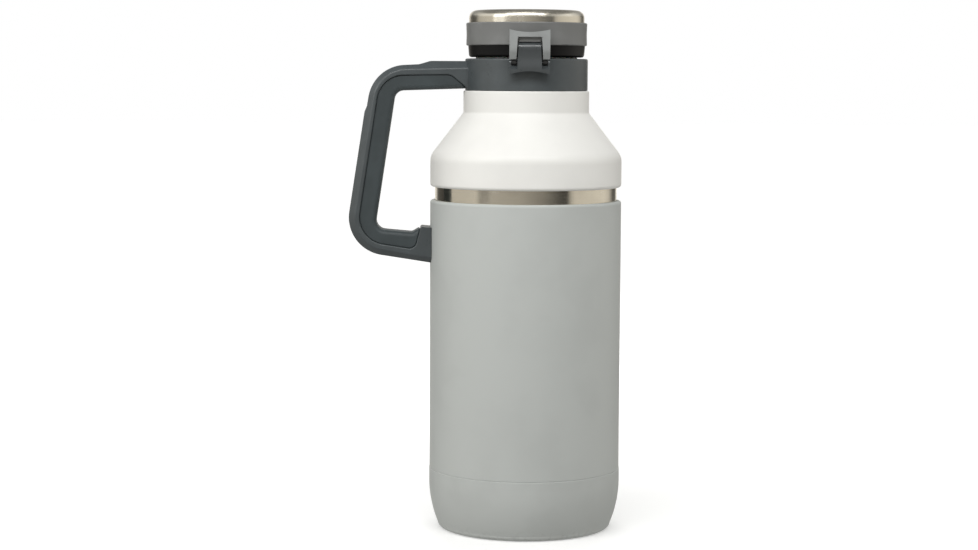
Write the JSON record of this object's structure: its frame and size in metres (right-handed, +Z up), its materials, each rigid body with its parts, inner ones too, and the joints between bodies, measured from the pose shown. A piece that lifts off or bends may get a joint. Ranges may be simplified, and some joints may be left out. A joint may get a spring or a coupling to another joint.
{
  "type": "insulated growler",
  "caption": "Double-walled steel growler with a vacuum jacket, latched hinged lid, pouring ring and a side handle with a soft grip.",
  "frame": {"origin": "on the bottle's axis, at the flat face that it stands on", "axes": "+Z up along the bottle's axis, -Y towards the latch, +Y towards the lid's hinge, -X towards the handle"},
  "size_m": [0.1696, 0.1194, 0.3231],
  "materials": {
    "steel_liner": "satin food-grade steel",
    "steel_bare": "polished, slightly warm",
    "cover_white": "matt white, fine orange peel",
    "sleeve_grey": "matt light grey, fine orange peel",
    "boot_grey": "matt light grey",
    "pad_rubber": "fine-grained",
    "moulding_grey": "satin dark grey",
    "grip_soft": "soft-touch dark blue grey",
    "band_grey": "satin mid grey",
    "latch_grey": "satin grey",
    "black_plastic": "satin black",
    "silicone": "translucent grey silicone",
    "foam": "rigid foam",
    "screw_steel": "plain"
  },
  "bodies": {
    "bottle": {"liner_cup": "steel_liner", "liner_shoulder": "steel_liner", "liner_neck": "steel_liner", "outer_shell": "steel_bare", "shell_base": "steel_bare", "vacuum_seal": "screw_steel", "getter": "screw_steel", "shoulder_cover": "cover_white", "body_sleeve": "sleeve_grey", "base_boot": "boot_grey", "foot_pad": "pad_rubber", "handle_bracket": "screw_steel", "handle_collar": "moulding_grey", "grip_insert": "grip_soft", "foot_screw": "screw_steel", "pour_ring": "black_plastic", "neck_seal": "silicone", "hinge_pin": "screw_steel", "lever_pin": "screw_steel"},
    "lid": {"lid_band": "band_grey", "lid_base": "black_plastic", "lid_seal": "silicone", "lid_insulation": "foam", "lid_cap": "steel_bare"},
    "lever": {"latch_lever": "latch_grey", "bail_pins": "screw_steel"},
    "bail": {"latch_bail": "latch_grey"}
  },
  "joints": [
    {"name": "lid_hinge", "type": "hinge", "parent": "bottle", "child": "lid", "pos_m": [0, 0.043, 0.2965], "axis": [-1, 0, 0], "range_deg": [0, 125]},
    {"name": "lever_pivot", "type": "hinge", "parent": "bottle", "child": "lever", "pos_m": [0, -0.0408, 0.2992], "axis": [-1, 0, 0], "range_deg": [0, 80]},
    {"name": "bail_pivot", "type": "hinge", "parent": "lever", "child": "bail", "pos_m": [0, -0.0398, 0.2902], "axis": [-1, 0, 0], "range_deg": [-80, 0]}
  ],
  "couplings": [
    {"joint": "bail_pivot", "follows": "lever_pivot", "ratio": -1}
  ]
}
